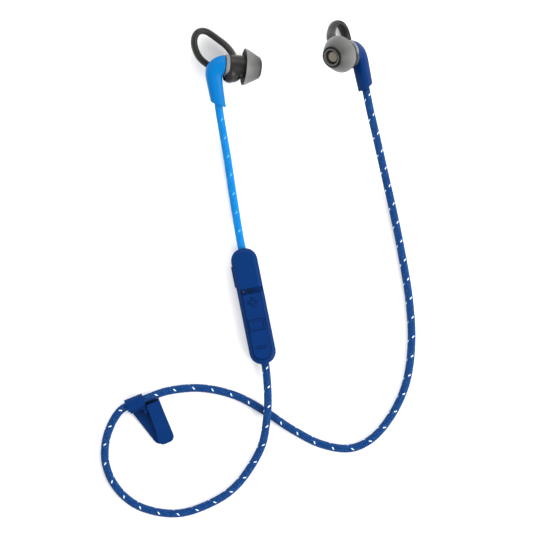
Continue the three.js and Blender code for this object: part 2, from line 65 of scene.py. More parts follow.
class Body(Enum):
    """The moving bodies of the frame that pieces ride on."""

    ROOT = "earphones"
    PLUS = "plus_button"
    MAIN = "main_button"
    MINUS = "minus_button"
    COVER = "port_cover"
    CLIP = "clip"
    JAW = "clip_jaw"
    LEFT_TIP = "left_ear_tip"
    RIGHT_TIP = "right_ear_tip"


class Side(Enum):
    """The two earbuds, with the body that each one's ear tip is."""

    LEFT = ("left", Body.LEFT_TIP)
    RIGHT = ("right", Body.RIGHT_TIP)

    @property
    def word(self) -> str:
        """The first word of the names of this side's nodes."""
        return self.value[0]

    @property
    def tip(self) -> Body:
        """The body of this side's ear tip."""
        return self.value[1]


# ---------------------------------------------------------------- finishes


def linear(colour: Colour) -> tuple[float, float, float, float]:
    """Turn a display colour into the linear one that shaders work in.

    Args:
        colour: Red, green and blue from 0 to 1, as seen on a display.

    Returns:
        The linear colour, with an alpha of 1.
    """
    toe, slope, offset, power = 0.04045, 12.92, 0.055, 2.4
    channels = [
        c / slope if c <= toe else ((c + offset) / (1 + offset)) ** power for c in colour
    ]
    return (*channels, 1.0)


class Bench:
    """A material's node tree, with short ways to add and join nodes."""

    def __init__(self, name: str) -> None:
        """Start a material with a bare Principled shader."""
        self.material = bpy.data.materials.new(name)
        self.material.use_nodes = True
        self.tree = self.material.node_tree
        self.shader = self.tree.nodes["Principled BSDF"]

    def add(self, kind: str, **settings: object) -> bpy.types.Node:
        """Add a node and set its own properties.

        Args:
            kind: Blender's name of the node type.
            **settings: Properties of the node, such as its operation.

        Returns:
            The new node.
        """
        node = self.tree.nodes.new(kind)
        for key, value in settings.items():
            setattr(node, key, value)
        return node

    def feed(self, source: object, target: bpy.types.NodeSocket) -> None:
        """Put a number, a colour or another socket into a socket."""
        if isinstance(source, bpy.types.NodeSocket):
            self.tree.links.new(source, target)
        else:
            target.default_value = source

    def math(self, operation: str, a: object, b: object = 0.0) -> bpy.types.NodeSocket:
        """Add a Math node and return its result."""
        node = self.add("ShaderNodeMath", operation=operation)
        self.feed(a, node.inputs[0])
        self.feed(b, node.inputs[1])
        return node.outputs[0]

    def object_space(self) -> bpy.types.NodeSocket:
        """Return the coordinates of the piece's own mesh, in metres."""
        return self.add("ShaderNodeTexCoord").outputs["Object"]

    def noise(self, size: float, detail: float) -> bpy.types.NodeSocket:
        """Add a noise in object space.

        Args:
            size: Width of its spots in millimetres.
            detail: How many finer layers it has.

        Returns:
            Its grey value, from 0 to 1.
        """
        node = self.add("ShaderNodeTexNoise")
        node.inputs["Scale"].default_value = 1 / (size * MM)
        node.inputs["Detail"].default_value = detail
        self.feed(self.object_space(), node.inputs["Vector"])
        return node.outputs["Fac"]

    def spread(self, source: object, low: float, high: float) -> bpy.types.NodeSocket:
        """Map a grey value from 0 to 1 onto a range of numbers."""
        node = self.add("ShaderNodeMapRange")
        self.feed(source, node.inputs["Value"])
        node.inputs["To Min"].default_value = low
        node.inputs["To Max"].default_value = high
        return node.outputs["Result"]

    def blend(
        self, share: object, first: object, second: object, how: str = "MIX"
    ) -> bpy.types.NodeSocket:
        """Mix two colours by a grey value, in one of Blender's ways to blend."""
        node = self.add("ShaderNodeMix", data_type="RGBA", blend_type=how)
        self.feed(share, node.inputs[0])
        self.feed(first, node.inputs[6])
        self.feed(second, node.inputs[7])
        return node.outputs[2]

    def edges(self, reach: float, gain: float) -> bpy.types.NodeSocket:
        """Return how near a point is to a sharp edge, from 0 to 1.

        Args:
            reach: How far from the edge it is felt, in millimetres.
            gain: How fast it rises with the edge's turn.
        """
        averaged = self.add("ShaderNodeBevel", samples=8)
        averaged.inputs["Radius"].default_value = reach * MM
        facing = self.add("ShaderNodeVectorMath", operation="DOT_PRODUCT")
        self.feed(averaged.outputs["Normal"], facing.inputs[0])
        self.feed(self.add("ShaderNodeNewGeometry").outputs["Normal"], facing.inputs[1])
        turn = self.math("SUBTRACT", 1.0, facing.outputs["Value"])
        return self.math("MINIMUM", 1.0, self.math("MULTIPLY", turn, gain))

    def emboss(self, height: object, depth: float) -> None:
        """Give the surface a relief.

        Args:
            height: Socket with the relief's height, from 0 to 1.
            depth: What 1 means, in millimetres.
        """
        node = self.add("ShaderNodeBump")
        node.inputs["Distance"].default_value = depth * MM
        node.inputs["Strength"].default_value = 1.0
        self.feed(height, node.inputs["Height"])
        self.feed(node.outputs["Normal"], self.shader.inputs["Normal"])


@dataclass(frozen=True)
class Finish:
    """What every finish has.

    Attributes:
        name: The name of its slot.
        colour: Its main colour, as seen on a display.
        roughness: Roughness of its skin, from 0 to 1.
        gloss: Strength of its reflections, where 0.5 is common plastic's.
    """

    name: str
    colour: Colour
    roughness: float = 0.5
    gloss: float = 0.2

    def start(self) -> Bench:
        """Return a bench with the constant roughness and gloss set."""
        bench = Bench(self.name)
        bench.shader.inputs["Roughness"].default_value = self.roughness
        bench.shader.inputs["Specular IOR Level"].default_value = self.gloss
        return bench

    def make(self) -> bpy.types.Material:
        """Build the material."""
        raise NotImplementedError


@dataclass(frozen=True)
class MouldedPlastic(Finish):
    """Moulded plastic: a fine spark-eroded grain, faint flow clouds, and painted shade along edges and in creases.

    Attributes:
        grain: Width of the grain's spots in millimetres.
        grain_share: How much of the toning is grain, the rest being clouds.
        relief: Depth of the grain in millimetres.
        cloud: Width of the clouds in millimetres.
        shade: How much darker the clouds' deep parts are.
        smoother: How far the roughness falls below its middle.
        rougher: How far the roughness rises above its middle.
        grime: How much darker edges and creases are painted, as painted shade.
        grime_reach: Width of the painted shade along edges, in millimetres.
        grime_gain: How fast the painted shade deepens with an edge's turn.
    """

    grain: float = 0.12
    grain_share: float = 0.3
    relief: float = 0.01
    cloud: float = 6.0
    shade: float = 0.1
    smoother: float = 0.06
    rougher: float = 0.08
    grime: float = 0.0
    grime_reach: float = 0.35
    grime_gain: float = 4.0

    def make(self) -> bpy.types.Material:
        """Build the material."""
        bench = self.start()
        deep = linear(tuple(c * (1 - self.shade) for c in self.colour))
        pale = linear(tuple(c * (1 + self.shade / 2) for c in self.colour))
        cloud = bench.noise(self.cloud, 4.0)
        grain = bench.noise(self.grain, 2.0)
        mixed = bench.math(
            "ADD",
            bench.math("MULTIPLY", cloud, 1 - self.grain_share),
            bench.math("MULTIPLY", grain, self.grain_share),
        )
        toned = bench.blend(mixed, deep, pale)
        # Painted shade: the colour is darkened along edges and in creases, wherever the bevel mask finds a turn.
        if self.grime:
            dark = linear(tuple(c * (1 - self.grime) for c in self.colour))
            toned = bench.blend(bench.edges(self.grime_reach, self.grime_gain), toned, dark)
        bench.feed(toned, bench.shader.inputs["Base Color"])
        satin = bench.spread(
            cloud, self.roughness - self.smoother, self.roughness + self.rougher
        )
        bench.feed(satin, bench.shader.inputs["Roughness"])
        bench.emboss(grain, self.relief)
        return bench.material


@dataclass(frozen=True)
class Silicone(Finish):
    """Silicone rubber: a soft depth under a satin skin, dusty in patches, and toned by a mesh attribute that is
    partly how much thinner it is and partly painted shade.

    Attributes:
        thick: Its colour where the attribute named by THIN is 0, the thicker silicone under the deepest painted
            shade.
        depth: How deep light gets, in millimetres.
        scatter: Share of the light that gets into it.
        dust: How much of the mottling is fine dust, the rest being patches.
        varies: Whether the mesh carries that attribute, saying where the silicone is thinner and where painted
            shade falls.
        patch: Width of the patches in millimetres.
        speck: Width of the dust's specks in millimetres.
        darkest: What the darkest patches multiply the colour by.
        palest: What the palest patches multiply the colour by.
        smoother: How far the roughness falls below its middle.
        rougher: How far the roughness rises above its middle.
        relief: Height of the dust in millimetres.
    """

    THIN = "thinness_and_shade"

    thick: Colour = (0.3, 0.3, 0.3)
    depth: float = 0.6
    scatter: float = 0.2
    dust: float = 0.35
    varies: bool = False
    patch: float = 2.4
    speck: float = 0.18
    darkest: float = 0.72
    palest: float = 1.24
    smoother: float = 0.05
    rougher: float = 0.12
    relief: float = 0.012

    def make(self) -> bpy.types.Material:
        """Build the material."""
        bench = self.start()
        base: object = linear(self.colour)
        if self.varies:
            # The attribute's tone is partly how much thinner the silicone is and partly painted shade.
            thinness_and_shade = bench.add("ShaderNodeAttribute", attribute_name=self.THIN).outputs["Fac"]
            base = bench.blend(thinness_and_shade, linear(self.thick), linear(self.colour))
        cloud = bench.noise(self.patch, 5.0)
        dust = bench.noise(self.speck, 2.0)
        mottle = bench.math(
            "ADD",
            bench.math("MULTIPLY", cloud, 1 - self.dust),
            bench.math("MULTIPLY", dust, self.dust),
        )
        grey = bench.add("ShaderNodeCombineColor")
        for channel in grey.inputs[:3]:
            bench.feed(bench.spread(mottle, self.darkest, self.palest), channel)
        toned = bench.blend(1.0, base, grey.outputs[0], "MULTIPLY")
        bench.feed(toned, bench.shader.inputs["Base Color"])
        satin = bench.spread(
            dust, self.roughness - self.smoother, self.roughness + self.rougher
        )
        bench.feed(satin, bench.shader.inputs["Roughness"])
        bench.shader.inputs["Subsurface Weight"].default_value = self.scatter
        bench.shader.inputs["Subsurface Radius"].default_value = (1.0, 0.95, 0.9)
        bench.shader.inputs["Subsurface Scale"].default_value = self.depth * MM
        bench.emboss(dust, self.relief)
        return bench.material


@dataclass(frozen=True)
class BraidedYarn(Finish):
    """A braided sleeve, drawn on a UV map: u runs along the cord in millimetres, v once round it.

    Attributes:
        fleck: Colour of the one pale yarn.
        fleck_lead: How far along the cord the pale yarn winds round once, in millimetres.
        fleck_width: Half of its width, as a share of its lead.
        fleck_length: Share of its way that it shows.
        fleck_rows: How many rows of flecks there are round the cord.
        row_place: Where the first row lies, as a share of the gap between rows.
        row_drift: How far the rows turn per millimetre, in gaps between rows.
        heather: How much paler the mixed-in fibres are.
        heather_size: Width of their spots in millimetres.
        heather_from: The level of noise above which they show.
        heather_share: How strongly they show.
        gap_shade: What the colour between strands is multiplied by, as painted shade in the gaps.
        roundness: How steeply the painted shade deepens from a strand's middle to its edges.
        relief: Height of the strands' bump in millimetres.
    """

    fleck: Colour = (1.0, 1.0, 1.0)
    fleck_lead: float = 6.9
    fleck_width: float = 0.035
    fleck_length: float = 0.38
    fleck_rows: int = 4
    row_place: float = 0.26
    row_drift: float = 0.002
    heather: float = 0.22
    heather_size: float = 0.35
    heather_from: float = 0.56
    heather_share: float = 0.6
    gap_shade: float = 0.55
    roundness: float = 0.6
    relief: float = 0.09

    def strand(self, bench: Bench, u: object, v: object, hand: int) -> bpy.types.NodeSocket:
        """Return how near a point is to the middle of its strand, for one way round.

        Args:
            bench: The material's bench.
            u: Socket with the place along the cord.
            v: Socket with the place round it.
            hand: 1 or -1, the way that the strands wind.

        Returns:
            0 at the strand's edges and 1 on its middle line.
        """
        along = bench.math("MULTIPLY", u, Braid.CARRIERS / Braid.LEAD)
        around = bench.math("MULTIPLY", v, Braid.CARRIERS * hand)
        place = bench.math("FRACT", bench.math("ADD", along, around))
        away = bench.math("ABSOLUTE", bench.math("SUBTRACT", place, 0.5))
        return bench.math("SUBTRACT", 1.0, bench.math("MULTIPLY", away, 2.0))

    def flecks(self, bench: Bench, u: object, v: object) -> bpy.types.NodeSocket:
        """Return 1 where the one pale yarn comes to the surface, and 0 elsewhere."""
        turn = bench.math("SUBTRACT", bench.math("DIVIDE", u, self.fleck_lead), v)
        off_line = bench.math("ABSOLUTE", bench.math("SUBTRACT", bench.math("FRACT", turn), 0.5))
        on_line = bench.math("LESS_THAN", off_line, self.fleck_width)
        drift = bench.math("MULTIPLY", u, self.row_drift)
        row = bench.math("SUBTRACT", bench.math("MULTIPLY", v, self.fleck_rows), drift)
        place = bench.math("FRACT", bench.math("ADD", row, 1.0 - self.row_place))
        off_middle = bench.math("ABSOLUTE", bench.math("SUBTRACT", place, 0.5))
        surfaced = bench.math("LESS_THAN", off_middle, self.fleck_length / 2)
        return bench.math("MULTIPLY", on_line, surfaced)

    def make(self) -> bpy.types.Material:
        """Build the material."""
        bench = self.start()
        split = bench.add("ShaderNodeSeparateXYZ")
        bench.feed(bench.add("ShaderNodeUVMap", uv_map=Braid.UV_NAME).outputs["UV"], split.inputs[0])
        u, v = split.outputs[0], split.outputs[1]
        right = self.strand(bench, u, v, 1)
        left = self.strand(bench, u, v, -1)
        weave = bench.math("MAXIMUM", right, left)
        over = bench.math("GREATER_THAN", right, left)
        # Painted shade: the colour darkens from each strand's middle toward the gaps between strands.
        deep = linear(tuple(c * self.gap_shade for c in self.colour))
        pale = linear(tuple(c + (1 - c) * self.heather for c in self.colour))
        toned = bench.blend(bench.math("POWER", weave, self.roundness), deep, linear(self.colour))
        spot = bench.math("GREATER_THAN", bench.noise(self.heather_size, 2.0), self.heather_from)
        speck = bench.math("MULTIPLY", spot, over)
        heathered = bench.blend(bench.math("MULTIPLY", speck, self.heather_share), toned, pale)
        fleck = self.flecks(bench, u, v)
        bench.feed(bench.blend(fleck, heathered, linear(self.fleck)), bench.shader.inputs["Base Color"])
        bench.shader.inputs["Sheen Weight"].default_value = 0.08
        bench.shader.inputs["Sheen Roughness"].default_value = 0.5
        bench.emboss(weave, self.relief)
        return bench.material


@dataclass(frozen=True)
class BrushedMetal(Finish):
    """Metal with fine brush lines along Y.

    Attributes:
        line: Width of the lines in millimetres.
        stretch: Their width as a share of their length.
        shade: How much darker the deep lines are.
        smoother: How far the roughness falls below its middle.
        rougher: How far the roughness rises above its middle.
        relief: Depth of the lines in millimetres.
    """

    line: float = 0.1
    stretch: float = 0.05
    shade: float = 0.15
    smoother: float = 0.08
    rougher: float = 0.1
    relief: float = 0.004

    def make(self) -> bpy.types.Material:
        """Build the material."""
        bench = self.start()
        scratch = bench.add("ShaderNodeTexNoise")
        scratch.inputs["Scale"].default_value = 1 / (self.line * MM)
        stretch = bench.add("ShaderNodeMapping")
        stretch.inputs["Scale"].default_value = (1.0, self.stretch, 1.0)
        bench.feed(bench.object_space(), stretch.inputs["Vector"])
        bench.feed(stretch.outputs[0], scratch.inputs["Vector"])
        lines = scratch.outputs["Fac"]
        deep = linear(tuple(c * (1 - self.shade) for c in self.colour))
        bench.feed(bench.blend(lines, deep, linear(self.colour)), bench.shader.inputs["Base Color"])
        satin = bench.spread(
            lines, self.roughness - self.smoother, self.roughness + self.rougher
        )
        bench.feed(satin, bench.shader.inputs["Roughness"])
        bench.shader.inputs["Metallic"].default_value = 1.0
        bench.emboss(lines, self.relief)
        return bench.material


@dataclass(frozen=True)
class WovenMesh(Finish):
    """A fine woven screen: crossed wires with painted shade in the openings between them.

    Attributes:
        pitch: From wire to wire, in millimetres.
        hole_shade: What the colour in the openings is multiplied by, as painted shade.
        relief: Height of the wires in millimetres.
    """

    pitch: float = 0.22
    hole_shade: float = 0.25
    relief: float = 0.05

    def make(self) -> bpy.types.Material:
        """Build the material."""
        bench = self.start()
        split = bench.add("ShaderNodeSeparateXYZ")
        bench.feed(bench.object_space(), split.inputs[0])
        turn = 2 * math.pi / (self.pitch * MM)
        waves = [
            bench.math("SINE", bench.math("MULTIPLY", split.outputs[i], turn)) for i in (0, 1)
        ]
        wires = bench.spread(bench.math("MAXIMUM", *waves), 0.0, 1.0)
        # Painted shade: the openings between the wires are darkened.
        hole = linear(tuple(c * self.hole_shade for c in self.colour))
        bench.feed(bench.blend(wires, hole, linear(self.colour)), bench.shader.inputs["Base Color"])
        bench.emboss(wires, self.relief)
        return bench.material


@dataclass(frozen=True)
class PaleSweep(Finish):
    """The pale board that the set lies on, with a trace of paper grain.

    Attributes:
        grain: Width of the grain's spots in millimetres.
        tone: What the darkest grain multiplies the colour by.
    """

    grain: float = 3.0
    tone: float = 0.995

    def make(self) -> bpy.types.Material:
        """Build the material."""
        bench = self.start()
        grain = bench.noise(self.grain, 2.0)
        deep = linear(tuple(c * self.tone for c in self.colour))
        bench.feed(bench.blend(grain, deep, linear(self.colour)), bench.shader.inputs["Base Color"])
        return bench.material


FINISHES: dict[str, Finish] = {
    finish.name: finish
    for finish in (
        MouldedPlastic("navy_shell", (0.0, 0.155, 0.36), 0.36, 0.07, grime=0.25),
        MouldedPlastic("navy_rubber", (0.0, 0.15, 0.36), 0.42, 0.07, relief=0.015, grime=0.6),
        MouldedPlastic("bright_blue_shell", (0.0, 0.395, 0.65), 0.3, 0.07, relief=0.004),
        BraidedYarn("bright_blue_braid", (0.0, 0.45, 0.74), 0.75, 0.05, fleck=(0.36, 0.68, 0.92)),
        BraidedYarn("navy_braid", (0.01, 0.2, 0.42), 0.75, 0.05, fleck=(0.82, 0.88, 0.95)),
        Silicone("grey_silicone", (0.41, 0.41, 0.405), 0.4, 0.2, thick=(0.05, 0.05, 0.055), varies=True),
        Silicone("dark_silicone", (0.11, 0.108, 0.104), 0.28, 0.22, scatter=0.05),
        MouldedPlastic("charcoal_plastic", (0.13, 0.13, 0.14), 0.5),
        MouldedPlastic("pale_plastic", (0.44, 0.45, 0.46), 0.4),
        WovenMesh("pale_mesh", (0.66, 0.63, 0.56), 0.5),
        MouldedPlastic("black_plastic", (0.07, 0.07, 0.08), 0.55),
        BrushedMetal("steel", (0.42, 0.43, 0.45), 0.34),
        MouldedPlastic("circuit_board", (0.1, 0.36, 0.2), 0.5),
        BrushedMetal("battery_foil", (0.8, 0.81, 0.83), 0.35),
    )
}


class Wardrobe:
    """Makes each finish once and hands it out by slot name."""

    def __init__(self) -> None:
        """Start with nothing made."""
        self.made: dict[str, bpy.types.Material] = {}
        self.slot_of = {row["node"]: row["material_slot"] for row in frame["record"]["subparts"]}

    def material(self, slot: str) -> bpy.types.Material:
        """Return the material of a slot, made on first use."""
        if slot not in self.made:
            self.made[slot] = FINISHES[slot].make()
        return self.made[slot]

    def dress(self, piece: bpy.types.Object, slot: str) -> None:
        """Give a piece one material over all of its faces, and say which slot it is."""
        piece.data.materials.clear()
        piece.data.materials.append(self.material(slot))

    def dress_frame(self) -> None:
        """Give every CAD node the finish of its own slot."""
        for name, node in frame["nodes"].items():
            node.data.materials.clear()
            node.data.materials.append(self.material(self.slot_of[name]))


# ---------------------------------------------------------------- mesh helpers


def piece_from(bm: bmesh.types.BMesh, name: str) -> bpy.types.Object:
    """Turn a bmesh into a linked object at the origin, and free the bmesh.

    Args:
        bm: The mesh in metres, where it lies in the CAD frame.
        name: The piece's name.

    Returns:
        The new object.
    """
    mesh = bpy.data.meshes.new(name)
    bm.to_mesh(mesh)
    bm.free()
    piece = bpy.data.objects.new(name, mesh)
    bpy.context.scene.collection.objects.link(piece)
    return piece


def smooth_by_angle(bm: bmesh.types.BMesh, limit: float) -> None:
    """Shade every face smooth, and keep edges sharper than limit degrees crisp."""
    for face in bm.faces:
        face.smooth = True
    for edge in bm.edges:
        edge.smooth = edge.calc_face_angle(0.0) < math.radians(limit)


def soften(piece: bpy.types.Object, width: float, segments: int = 2, angle: float = 35.0) -> None:
    """Round a piece's sharp edges.

    Args:
        piece: The piece.
        width: Width of the rounding in millimetres.
        segments: Faces across the rounding.
        angle: Only edges that turn more than this, in degrees.
    """
    bevel = piece.modifiers.new("soft edges", "BEVEL")
    bevel.width = width * MM
    bevel.segments = segments
    bevel.limit_method = "ANGLE"
    bevel.angle_limit = math.radians(angle)


def merged_copy(node: str, flatten: float) -> bmesh.types.BMesh:
    """Copy a CAD node's mesh with its loose triangles joined and its flat faces made whole.

    Args:
        node: The CAD node's name.
        flatten: Faces that turn less than this, in degrees, become one.

    Returns:
        The copy, in metres.
    """
    bm = bmesh.new()
    bm.from_mesh(frame["nodes"][node].data)
    bmesh.ops.remove_doubles(bm, verts=bm.verts, dist=MERGE_WITHIN * MM)
    bmesh.ops.dissolve_limit(
        bm, angle_limit=math.radians(flatten), verts=bm.verts, edges=bm.edges, delimit=set()
    )
    return bm


def spun(profile: list[tuple[float, float]], turns: int) -> bmesh.types.BMesh:
    """Turn a closed profile once round the X axis.

    Args:
        profile: Places along the axis with their radii, in millimetres.
        turns: Steps of the full turn.

    Returns:
        The closed, outward-facing shape, in metres.
    """
    bm = bmesh.new()
    rings = []
    for step in range(turns):
        turn = Matrix.Rotation(2 * math.pi * step / turns, 4, "X")
        points = [turn @ Vector((along, radius, 0.0)) * MM for along, radius in profile]
        rings.append([bm.verts.new(point) for point in points])
    for near, far in zip(rings, rings[1:] + rings[:1]):
        for i in range(len(profile)):
            bm.faces.new((near[i - 1], near[i], far[i], far[i - 1]))
    bmesh.ops.recalc_face_normals(bm, faces=bm.faces)
    return bm


def rounded(corners: list[tuple[float, float, float]], steps: int = 5) -> list[tuple[float, float]]:
    """Round the corners of a closed outline.

    Args:
        corners: Two coordinates and the reach of the rounding, all in millimetres.
        steps: Points that replace each corner, less one.

    Returns:
        The rounded outline.
    """
    longest = 0.48  # the share of a side that one corner's rounding may take
    outline = []
    for i, (x, y, reach) in enumerate(corners):
        corner = Vector((x, y))
        before, after = Vector(corners[i - 1][:2]), Vector(corners[(i + 1) % len(corners)][:2])
        near = min(reach, longest * (before - corner).length)
        far = min(reach, longest * (after - corner).length)
        start = corner + (before - corner).normalized() * near
        end = corner + (after - corner).normalized() * far
        for k in range(steps + 1):
            t = k / steps
            point = start.lerp(corner, t).lerp(corner.lerp(end, t), t)
            outline.append((point.x, point.y))
    return outline


@dataclass
class SoftCopy:
    """A rigid CAD shape with its facets merged, shaded smooth, and its edges rounded as moulded.

    Attributes:
        node: The CAD node that it stands for.
        body: What it rides on.
        edge: Width of its rounded edges in millimetres.
        crisp: Edges that turn more than this, in degrees, aren't shaded smooth.
        flatten: Faces that turn less than this, in degrees, become one.
    """

    node: str
    body: Body
    edge: float
    crisp: float = 32.0
    flatten: float = 0.6

    def build(self) -> bpy.types.Object:
        """Return the copy, which stands for its CAD node."""
        bm = merged_copy(self.node, self.flatten)
        smooth_by_angle(bm, self.crisp)
        piece = piece_from(bm, self.node + "_shape")
        soften(piece, self.edge)
        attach(piece, self.body.value)
        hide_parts(self.node)
        return piece


@dataclass
class MouldedSkin:
    """A curved CAD shape whose facets are drawn into one smooth skin with small round edges.

    Attributes:
        node: The CAD node that it stands for.
        body: What it rides on.
        grid: Cell of the even skin in millimetres.
        relax: How often the skin is relaxed.
        relax_by: How far it relaxes each time, from 0 to 1.
        rounds: How often the facets are divided and rounded.
        crisp: Edges that turn more than this, in degrees, aren't rounded away.
        flatten: Faces that turn less than this, in degrees, become one.
        swelling: Turns a ball of radius 1 into a bulge that the skin takes in.
    """

    node: str
    body: Body = Body.ROOT
    grid: float = 0.22
    relax: int = 5
    relax_by: float = 0.5
    rounds: int = 2
    crisp: float = 40.0
    flatten: float = 0.2
    swelling: Matrix | None = None

    def build(self) -> bpy.types.Object:
        """Return the skin, which stands for its CAD node."""
        bm = merged_copy(self.node, self.flatten)
        crease = bm.edges.layers.float.new("crease_edge")
        for edge in bm.edges:
            sharp = edge.calc_face_angle(0.0) > math.radians(self.crisp)
            edge[crease] = 1.0 if sharp else 0.0
        if self.swelling:
            bmesh.ops.create_icosphere(bm, subdivisions=3, radius=1.0, matrix=self.swelling)
        piece = piece_from(bm, self.node + "_shape")
        rounding = piece.modifiers.new("round facets", "SUBSURF")
        rounding.levels = rounding.render_levels = self.rounds
        skin = piece.modifiers.new("even skin", "REMESH")
        skin.mode = "VOXEL"
        skin.voxel_size = self.grid * MM
        skin.use_smooth_shade = True
        relaxing = piece.modifiers.new("relaxed skin", "SMOOTH")
        relaxing.factor = self.relax_by
        relaxing.iterations = self.relax
        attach(piece, self.body.value)
        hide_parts(self.node)
        return piece


# ---------------------------------------------------------------- cords


class Braid:
    """How both cords' sleeves are braided, in the mesh and in the yarns' colours."""

    UV_NAME = "braid"
    CARRIERS = 8  # strands each way round
    LEAD = 8.0  # millimetres along the cord for one turn of a strand
    DEPTH = 0.07  # millimetres between the strands' tops and the gaps

    @classmethod
    def sunk(cls, u: float, v: float) -> float:
        """Return how deep the sleeve's surface lies at a place along and round the cord."""
        middles = []
        for hand in (1, -1):
            place = (u * cls.CARRIERS / cls.LEAD + v * cls.CARRIERS * hand) % 1.0
            middles.append(1 - 2 * abs(place - 0.5))
        return cls.DEPTH * (1 - max(middles))


@dataclass
class Cord:
    """A braided cord: a tube of one diameter along a smooth route through given points.

    Attributes:
        name: The CAD node that it stands for.
        route: The points, in millimetres.
        diameter: Its diameter in millimetres.
        sides: Corners round the tube.
        step: From ring to ring along the tube, in millimetres.
        fineness: Points of the curve from one point of the route to the next.
        piece: The finished tube.
        path: Its middle line in metres.
        length: Its length in millimetres.
    """

    name: str
    route: list[Point]
    diameter: float
    sides: int = 32
    step: float = 0.4
    fineness: int = 40
    piece: bpy.types.Object = field(init=False)
    path: list[Point] = field(init=False)
    length: float = field(init=False)

    def line(self) -> list[Vector]:
        """Return closely spaced points of the centripetal curve through the route, in millimetres."""
        points = [Vector(p) for p in self.route]
        points = [2 * points[0] - points[1], *points, 2 * points[-1] - points[-2]]
        dense = []
        for p0, p1, p2, p3 in zip(points, points[1:], points[2:], points[3:]):
            gaps = [math.sqrt((b - a).length) for a, b in ((p0, p1), (p1, p2), (p2, p3))]
            leave = (p1 - p0) / gaps[0] - (p2 - p0) / (gaps[0] + gaps[1]) + (p2 - p1) / gaps[1]
            reach = (p2 - p1) / gaps[1] - (p3 - p1) / (gaps[1] + gaps[2]) + (p3 - p2) / gaps[2]
            leave, reach = leave * gaps[1], reach * gaps[1]
            for i in range(self.fineness):
                t = i / self.fineness
                square = (3 * (p2 - p1) - 2 * leave - reach) * t**2
                cube = (2 * (p1 - p2) + leave + reach) * t**3
                dense.append(p1 + leave * t + square + cube)
        return [*dense, points[-2]]

    def evenly(self) -> tuple[list[Vector], float]:
        """Return points a constant step apart along the line, and the whole length."""
        dense = self.line()
        reach = [0.0]
        for a, b in zip(dense, dense[1:]):
            reach.append(reach[-1] + (b - a).length)
        count = round(reach[-1] / self.step)
        even, place = [], 0
        for i in range(count + 1):
            want = reach[-1] * i / count
            while place < len(reach) - 2 and reach[place + 1] < want:
                place += 1
            share = (want - reach[place]) / (reach[place + 1] - reach[place])
            even.append(dense[place].lerp(dense[place + 1], share))
        return even, reach[-1]

    def build(self) -> None:
        """Make the cord's tube, with its UV map along and round it."""
        path, length = self.evenly()
        bm = bmesh.new()
        uv = bm.loops.layers.uv.new(Braid.UV_NAME)
        gap = length / (len(path) - 1)
        side = Vector((0.0, 0.0, 1.0))
        rings = []
        for i, point in enumerate(path):
            along = (path[min(i + 1, len(path) - 1)] - path[max(i - 1, 0)]).normalized()
            side = (side - along * side.dot(along)).normalized()
            other = along.cross(side)
            ring = []
            for k in range(self.sides):
                angle = 2 * math.pi * k / self.sides
                spoke = side * math.cos(angle) + other * math.sin(angle)
                radius = self.diameter / 2 - Braid.sunk(i * gap, k / self.sides)
                ring.append(bm.verts.new((point + spoke * radius) * MM))
            rings.append(ring)
        for i, (near, far) in enumerate(zip(rings, rings[1:])):
            for k in range(self.sides):
                n = (k + 1) % self.sides
                face = bm.faces.new((near[k], near[n], far[n], far[k]))
                face.smooth = True
                places = ((i, k), (i, k + 1), (i + 1, k + 1), (i + 1, k))
                for loop, (row, column) in zip(face.loops, places):
                    loop[uv].uv = (row * gap, column / self.sides)
        bm.faces.new(list(reversed(rings[0])))
        bm.faces.new(rings[-1])
        self.piece = piece_from(bm, self.name + "_braid")
        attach(self.piece, Body.ROOT.value)
        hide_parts(self.name)
        self.path = [tuple(p * MM) for p in path]
        self.length = length


